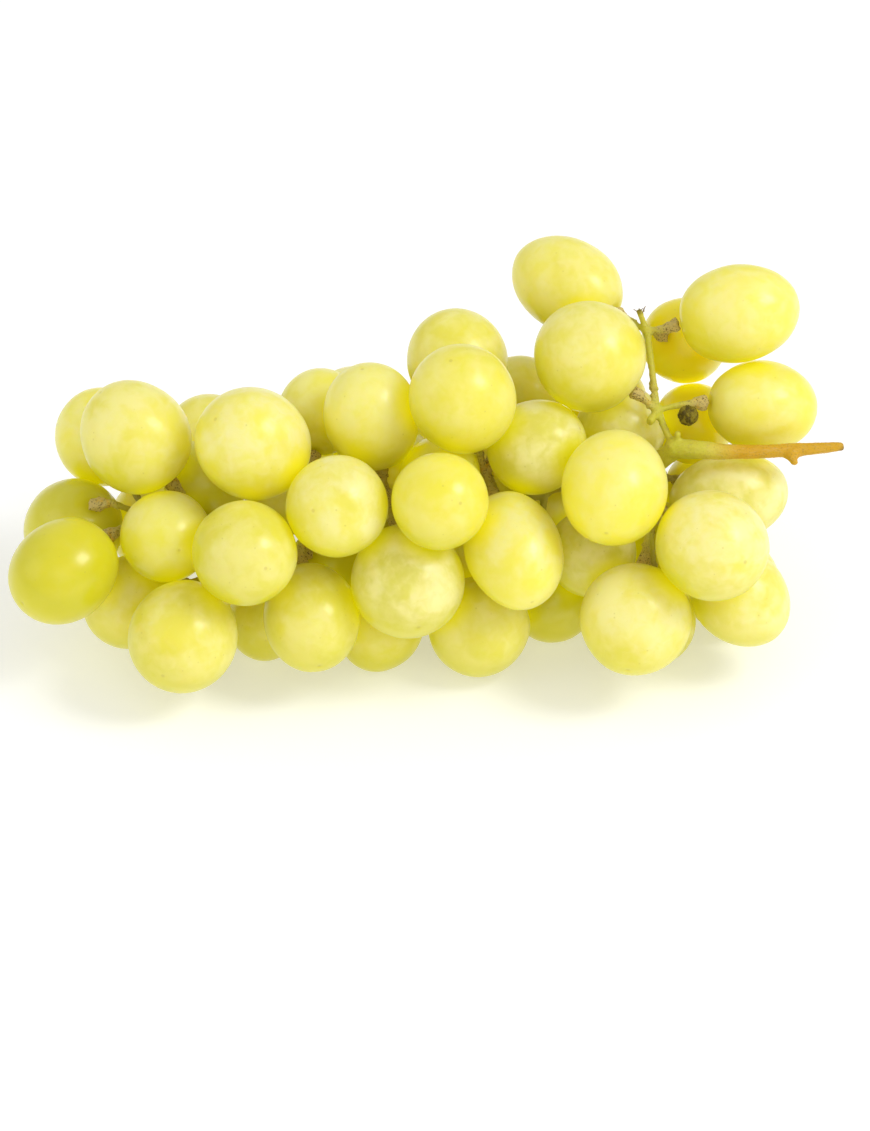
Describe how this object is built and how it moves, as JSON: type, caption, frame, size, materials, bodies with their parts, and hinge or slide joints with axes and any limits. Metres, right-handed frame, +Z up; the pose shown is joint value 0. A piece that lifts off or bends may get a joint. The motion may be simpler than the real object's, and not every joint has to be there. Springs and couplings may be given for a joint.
{
  "type": "bunch of white grapes",
  "caption": "Bunch of pale yellow-green table grapes lying on its side, with a branching stem, a woody peduncle with a dry cut end, and a shrivelled shot berry.",
  "frame": {"origin": "on the table under the middle of the bunch's bounding box", "axes": "+Z up, +X along the bunch towards the cut end of the peduncle"},
  "size_m": [0.1714, 0.0788, 0.0782],
  "materials": {
    "grape_skin": "semi-gloss, translucent yellow-green, with a thin waxy bloom",
    "stem_bark": "matte, green where young and tan to orange-brown where woody",
    "shrivelled_skin": "matte, dark olive, wrinkled"
  },
  "bodies": {
    "root": {"stem": "stem_bark", "shot_berry": "shrivelled_skin", "berry_01": "grape_skin", "berry_02": "grape_skin", "berry_03": "grape_skin", "berry_04": "grape_skin", "berry_05": "grape_skin", "berry_06": "grape_skin", "berry_07": "grape_skin", "berry_08": "grape_skin", "berry_09": "grape_skin", "berry_10": "grape_skin", "berry_11": "grape_skin", "berry_12": "grape_skin", "berry_13": "grape_skin", "berry_14": "grape_skin", "berry_15": "grape_skin", "berry_16": "grape_skin", "berry_17": "grape_skin", "berry_18": "grape_skin", "berry_19": "grape_skin", "berry_20": "grape_skin", "berry_21": "grape_skin", "berry_22": "grape_skin", "berry_23": "grape_skin", "berry_24": "grape_skin", "berry_25": "grape_skin", "berry_26": "grape_skin", "berry_27": "grape_skin", "berry_28": "grape_skin", "berry_29": "grape_skin", "berry_30": "grape_skin", "berry_31": "grape_skin", "berry_32": "grape_skin", "berry_33": "grape_skin", "berry_34": "grape_skin", "berry_35": "grape_skin", "berry_36": "grape_skin", "berry_37": "grape_skin", "berry_38": "grape_skin", "berry_39": "grape_skin", "berry_40": "grape_skin", "berry_41": "grape_skin", "berry_42": "grape_skin", "berry_43": "grape_skin", "berry_44": "grape_skin", "berry_45": "grape_skin", "berry_46": "grape_skin", "berry_47": "grape_skin", "berry_48": "grape_skin", "berry_49": "grape_skin", "berry_50": "grape_skin", "berry_51": "grape_skin", "berry_52": "grape_skin", "berry_53": "grape_skin", "berry_54": "grape_skin", "berry_55": "grape_skin", "berry_56": "grape_skin", "berry_57": "grape_skin", "berry_58": "grape_skin"}
  },
  "joints": []
}
